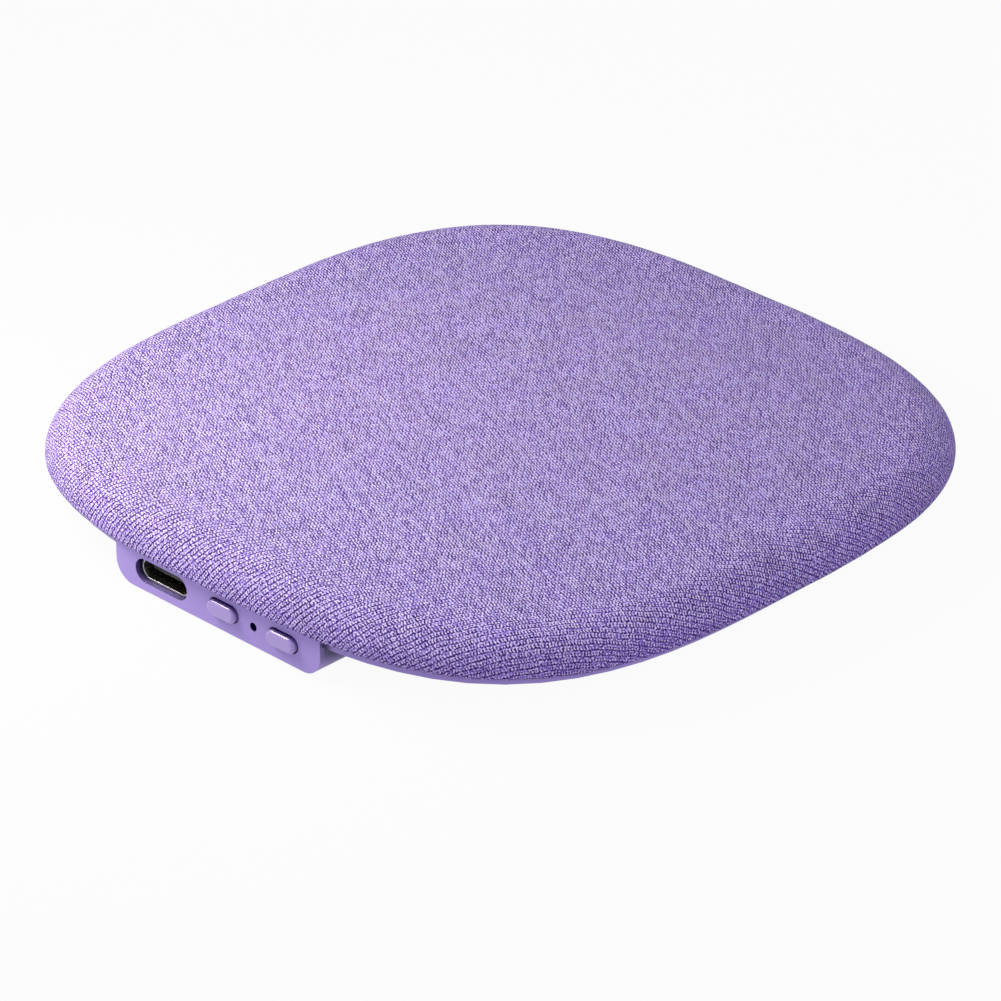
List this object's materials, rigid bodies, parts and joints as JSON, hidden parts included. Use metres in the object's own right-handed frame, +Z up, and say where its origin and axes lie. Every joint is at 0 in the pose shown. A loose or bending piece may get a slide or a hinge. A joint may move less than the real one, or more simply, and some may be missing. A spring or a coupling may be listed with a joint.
{
  "type": "pillow speaker",
  "caption": "Thin rounded-square cloth-covered pad speaker with a control housing under one edge that has a USB-C socket, buttons and a microphone hole.",
  "frame": {"origin": "middle of the surface that the four rubber feet stand on", "axes": "+Z up out of the cloth-covered face, -Y towards the control housing with the socket and the buttons, +X to the right as that side is faced"},
  "size_m": [0.105, 0.105, 0.0122],
  "materials": {
    "knit_cloth": "heathered lilac knit",
    "foam": "open-cell foam",
    "lilac_plastic": "satin moulded",
    "button_plastic": "satin moulded",
    "rubber_foot": "matte silicone rubber",
    "rubber_boot": "matte rubber",
    "screw_steel": "zinc plated",
    "socket_steel": "drawn, nickel plated",
    "can_steel": "tinned",
    "spring_steel": "stamped",
    "yoke_steel": "zinc plated",
    "magnet": "nickel plated",
    "coil_copper": "enamelled wire",
    "contact_gold": "gold plated",
    "circuit_board": "solder mask",
    "black_resin": "moulded",
    "ivory_resin": "moulded",
    "switch_body": "moulded",
    "pouch_foil": "laminated pouch",
    "adhesive_tape": "double-sided tape",
    "red_wire": "insulated wire",
    "black_wire": "insulated wire"
  },
  "bodies": {
    "housing": {"fabric_cover": "knit_cloth", "foam_pad": "foam", "top_shell": "lilac_plastic", "base_shell": "lilac_plastic", "foot_front_left": "rubber_foot", "foot_front_right": "rubber_foot", "foot_rear_left": "rubber_foot", "foot_rear_right": "rubber_foot", "case_screws": "screw_steel", "main_board": "circuit_board", "board_screws": "screw_steel", "usb_shell": "socket_steel", "usb_insulator": "black_resin", "usb_contacts": "contact_gold", "left_switch": "switch_body", "right_switch": "switch_body", "microphone": "can_steel", "microphone_boot": "rubber_boot", "radio_module": "circuit_board", "shield_can": "can_steel", "amplifier_chip": "black_resin", "charger_chip": "black_resin", "power_inductor": "black_resin", "battery_socket": "ivory_resin", "battery_plug": "ivory_resin", "battery_cell": "pouch_foil", "battery_board": "circuit_board", "battery_tape": "adhesive_tape", "battery_red_lead": "red_wire", "battery_black_lead": "black_wire", "driver_pad": "adhesive_tape", "driver_frame": "black_resin", "voice_coil": "coil_copper", "suspension_spring": "spring_steel", "driver_red_lead": "red_wire", "driver_black_lead": "black_wire"},
    "left_button": {"left_button_cap": "button_plastic", "left_switch_stem": "ivory_resin"},
    "right_button": {"right_button_cap": "button_plastic", "right_switch_stem": "ivory_resin"},
    "magnet_mass": {"driver_yoke": "yoke_steel", "driver_magnet": "magnet", "pole_plate": "yoke_steel"}
  },
  "joints": [
    {"name": "left_button_press", "type": "slide", "parent": "housing", "child": "left_button", "axis": [0, 1, 0], "range_m": [0, 0.0003], "stiffness_N_per_m": 4000},
    {"name": "right_button_press", "type": "slide", "parent": "housing", "child": "right_button", "axis": [0, 1, 0], "range_m": [0, 0.0003], "stiffness_N_per_m": 4000},
    {"name": "magnet_shake", "type": "slide", "parent": "housing", "child": "magnet_mass", "axis": [0, 0, 1], "range_m": [-0.0004, 0.0004], "stiffness_N_per_m": 2500, "deforming": ["suspension_spring"]}
  ]
}
